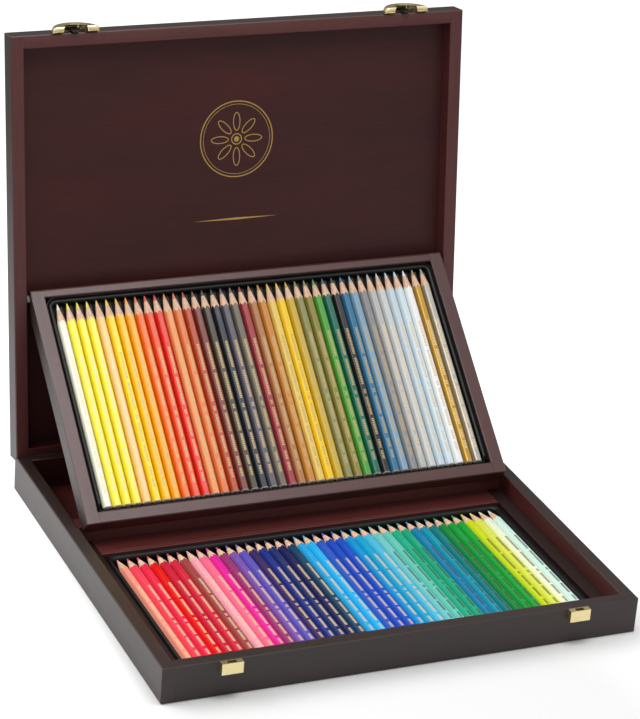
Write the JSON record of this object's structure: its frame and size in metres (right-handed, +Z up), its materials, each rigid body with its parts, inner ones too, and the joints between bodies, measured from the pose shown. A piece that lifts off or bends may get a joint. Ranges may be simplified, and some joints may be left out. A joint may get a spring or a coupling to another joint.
{
  "type": "two-level pencil case",
  "caption": "Flat wooden case for coloured pencils, standing open: a hinged lid leans back on its stop and carries a pivoted second tray; half-moon latches hold it shut.",
  "frame": {"origin": "centre of the underside of the base, on the surface that the case stands on", "axes": "+X to the right as seen from the front, +Y to the back where the lid is hinged, +Z up"},
  "size_m": [0.3782, 0.4048, 0.368],
  "materials": {
    "stained_wood": "dark mahogany stain under satin lacquer",
    "panel_wood": "dark mahogany veneer under satin lacquer",
    "black_plastic": "gloss, thermoformed",
    "pencil_paint": "gloss paint in one colour for each pencil, bare cedar at the sharpened cones",
    "pencil_lead": "matt, in the colour of its pencil",
    "brass": "polished",
    "spring_steel": "dark, blued",
    "pale_washer": "satin"
  },
  "bodies": {
    "base": {"base_front_wall": "stained_wood", "base_back_wall": "stained_wood", "base_left_wall": "stained_wood", "base_right_wall": "stained_wood", "base_floor_panel": "panel_wood", "left_ledge": "stained_wood", "right_ledge": "stained_wood", "rest_bar": "stained_wood", "deck_panel": "panel_wood", "deck_front_strip": "stained_wood", "lower_insert": "black_plastic", "lower_pencil_casings": "pencil_paint", "lower_pencil_leads": "pencil_lead", "left_strike": "brass", "right_strike": "brass", "strike_nails": "brass", "left_hinge_base_leaf": "brass", "right_hinge_base_leaf": "brass", "left_hinge_pin": "brass", "right_hinge_pin": "brass", "base_hinge_screws": "brass"},
    "lid": {"lid_front_rail": "stained_wood", "lid_back_rail": "stained_wood", "lid_left_stile": "stained_wood", "lid_right_stile": "stained_wood", "lid_panel": "panel_wood", "left_hinge_lid_leaf": "brass", "right_hinge_lid_leaf": "brass", "lid_hinge_screws": "brass", "left_latch_plate": "brass", "right_latch_plate": "brass", "left_latch_pin": "brass", "right_latch_pin": "brass", "latch_plate_nails": "brass", "left_pivot_bush": "brass", "right_pivot_bush": "brass"},
    "tray": {"tray_rear_rail": "stained_wood", "tray_front_rail": "stained_wood", "tray_left_stile": "stained_wood", "tray_right_stile": "stained_wood", "tray_panel": "panel_wood", "upper_insert": "black_plastic", "upper_pencil_casings": "pencil_paint", "upper_pencil_leads": "pencil_lead", "left_pivot_pin": "brass", "right_pivot_pin": "brass", "left_pivot_spacer": "pale_washer", "right_pivot_spacer": "pale_washer"},
    "left_latch": {"left_latch_lever": "brass", "left_latch_hook": "spring_steel"},
    "right_latch": {"right_latch_lever": "brass", "right_latch_hook": "spring_steel"}
  },
  "joints": [
    {"name": "lid_hinge", "type": "hinge", "parent": "base", "child": "lid", "pos_m": [0, 0.16605, 0.0291], "axis": [1, 0, 0], "range_deg": [0, 98]},
    {"name": "tray_pivot", "type": "hinge", "parent": "lid", "child": "tray", "pos_m": [0, 0.18822, 0.15524], "axis": [1, 0, 0], "range_deg": [-137.42, 0]},
    {"name": "left_latch_turn", "type": "hinge", "parent": "lid", "child": "left_latch", "pos_m": [-0.138, 0.22472, 0.36319], "axis": [-1, 0, 0], "range_deg": [0, 8], "stiffness_Nm_per_rad": 0.02, "springref_deg": -5.16},
    {"name": "right_latch_turn", "type": "hinge", "parent": "lid", "child": "right_latch", "pos_m": [0.138, 0.22472, 0.36319], "axis": [-1, 0, 0], "range_deg": [0, 8], "stiffness_Nm_per_rad": 0.02, "springref_deg": -5.16}
  ],
  "couplings": [
    {"joint": "tray_pivot", "follows": "lid_hinge", "ratio": -1.4023}
  ]
}
